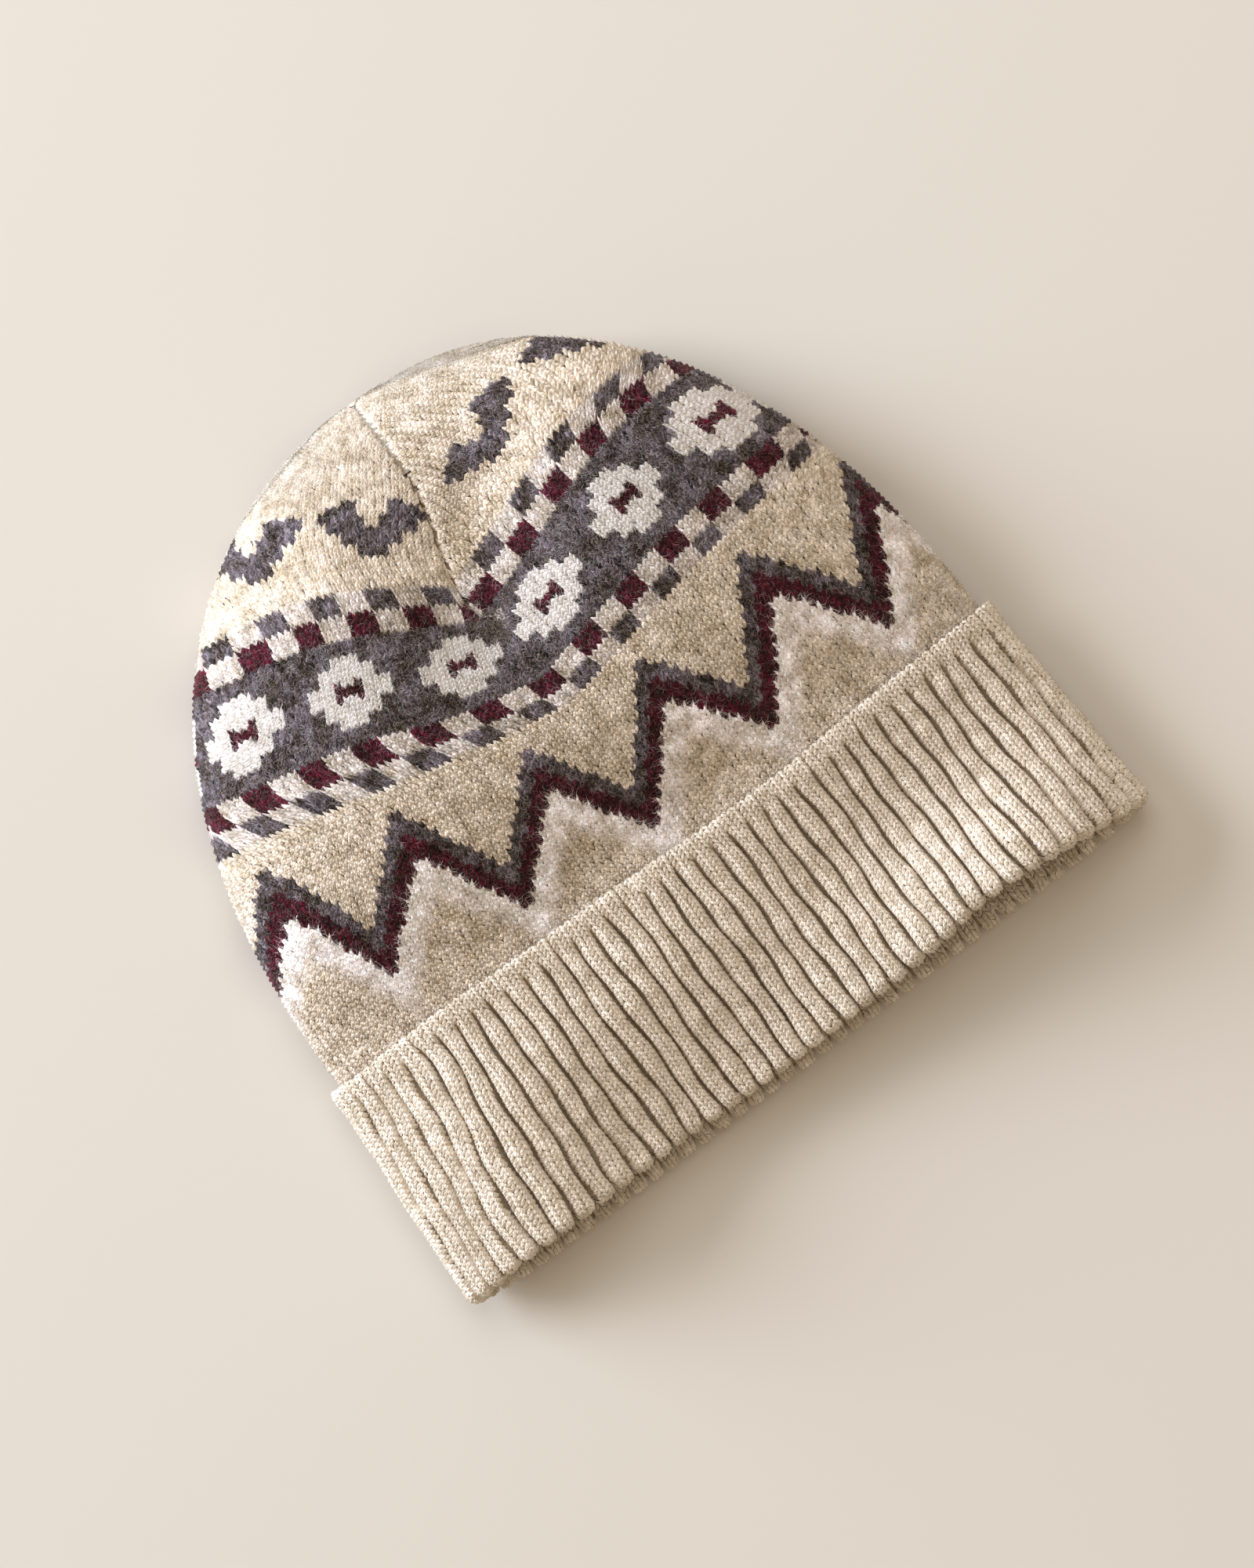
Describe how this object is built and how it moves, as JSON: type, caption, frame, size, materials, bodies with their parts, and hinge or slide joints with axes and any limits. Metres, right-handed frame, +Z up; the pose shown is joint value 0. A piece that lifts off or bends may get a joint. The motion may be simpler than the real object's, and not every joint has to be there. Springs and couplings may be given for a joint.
{
  "type": "fair isle hat",
  "caption": "Soft knitted fair isle hat with a turned-up ribbed cuff, lying flat on its back with its mouth open.",
  "frame": {"origin": "under the middle of the hat, on the surface that it lies on", "axes": "+Z up, away from the surface; +Y from the mouth towards the top of the crown; +X to the right seen from above with the crown away from the viewer"},
  "size_m": [0.2376, 0.227, 0.049],
  "materials": {
    "crown_knit": "matt",
    "cuff_rib": "matt"
  },
  "bodies": {
    "root": {"crown": "crown_knit", "cuff": "cuff_rib"}
  },
  "joints": []
}
